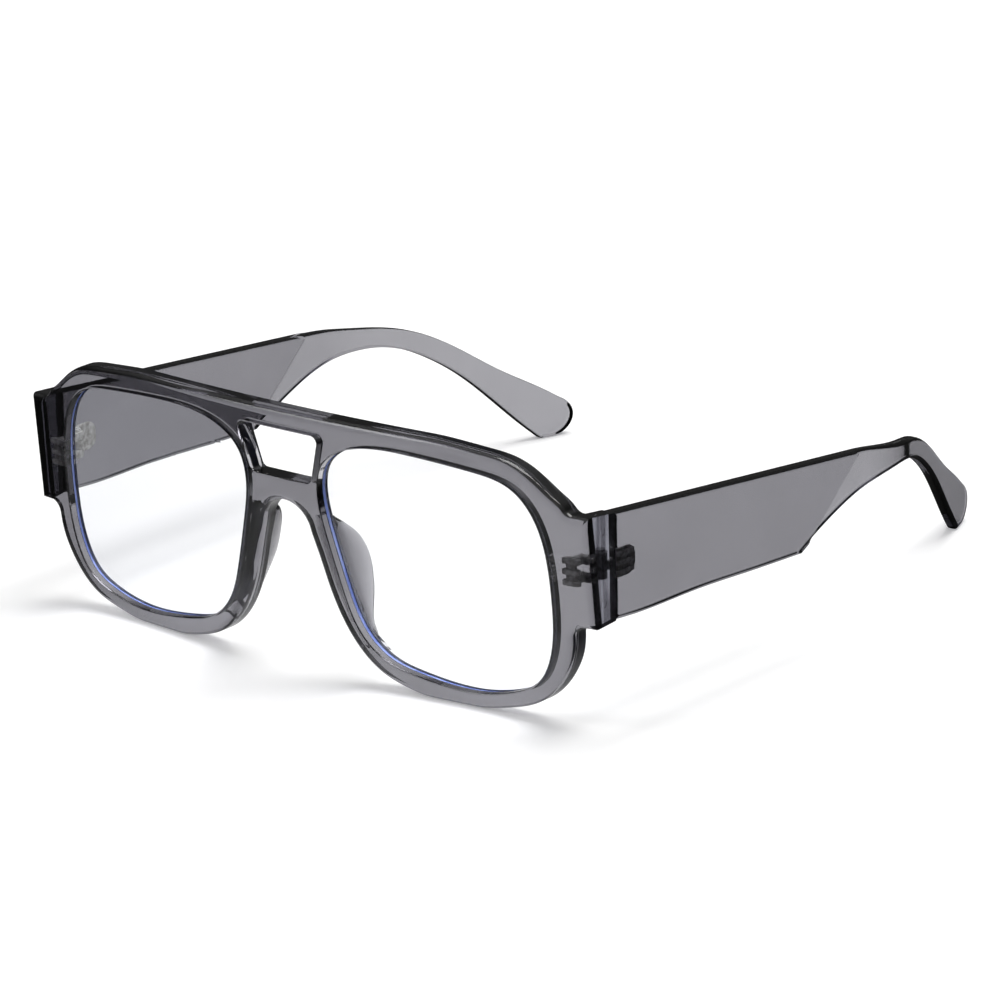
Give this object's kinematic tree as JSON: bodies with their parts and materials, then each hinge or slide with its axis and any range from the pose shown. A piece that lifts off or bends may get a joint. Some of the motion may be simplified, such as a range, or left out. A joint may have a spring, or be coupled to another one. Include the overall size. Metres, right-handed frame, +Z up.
{
  "type": "double bridge glasses",
  "caption": "Spectacles with a see-through grey plastic frame, two bridge bars with a gap between them, clear lenses and broad folding temples.",
  "frame": {"origin": "centre of the bounding box's bottom, on the table the open glasses stand on", "axes": "+X to the wearer's left, +Y back along the temples, +Z up; the lenses face -Y"},
  "size_m": [0.1506, 0.1644, 0.0563],
  "materials": {
    "frame_plastic": "see-through grey, polished",
    "lens_plastic": "clear, coated",
    "hinge_metal": "nickel-plated",
    "screw_metal": "bright"
  },
  "bodies": {
    "front_body": {"front": "frame_plastic", "lens_right": "lens_plastic", "lens_left": "lens_plastic", "nose_pad_right": "frame_plastic", "nose_pad_left": "frame_plastic", "hinge_front_right": "hinge_metal", "hinge_front_left": "hinge_metal", "hinge_screw_right": "screw_metal", "hinge_screw_left": "screw_metal"},
    "temple_right_body": {"temple_right": "frame_plastic", "hinge_temple_right": "hinge_metal"},
    "temple_left_body": {"temple_left": "frame_plastic", "hinge_temple_left": "hinge_metal"}
  },
  "joints": [
    {"name": "right_hinge", "type": "hinge", "parent": "front_body", "child": "temple_right_body", "pos_m": [-0.0681, -0.06603, 0.0328], "axis": [0, 0, -1], "range_deg": [0, 86]},
    {"name": "left_hinge", "type": "hinge", "parent": "front_body", "child": "temple_left_body", "pos_m": [0.0681, -0.06603, 0.0328], "axis": [0, 0, 1], "range_deg": [0, 73.5]}
  ]
}
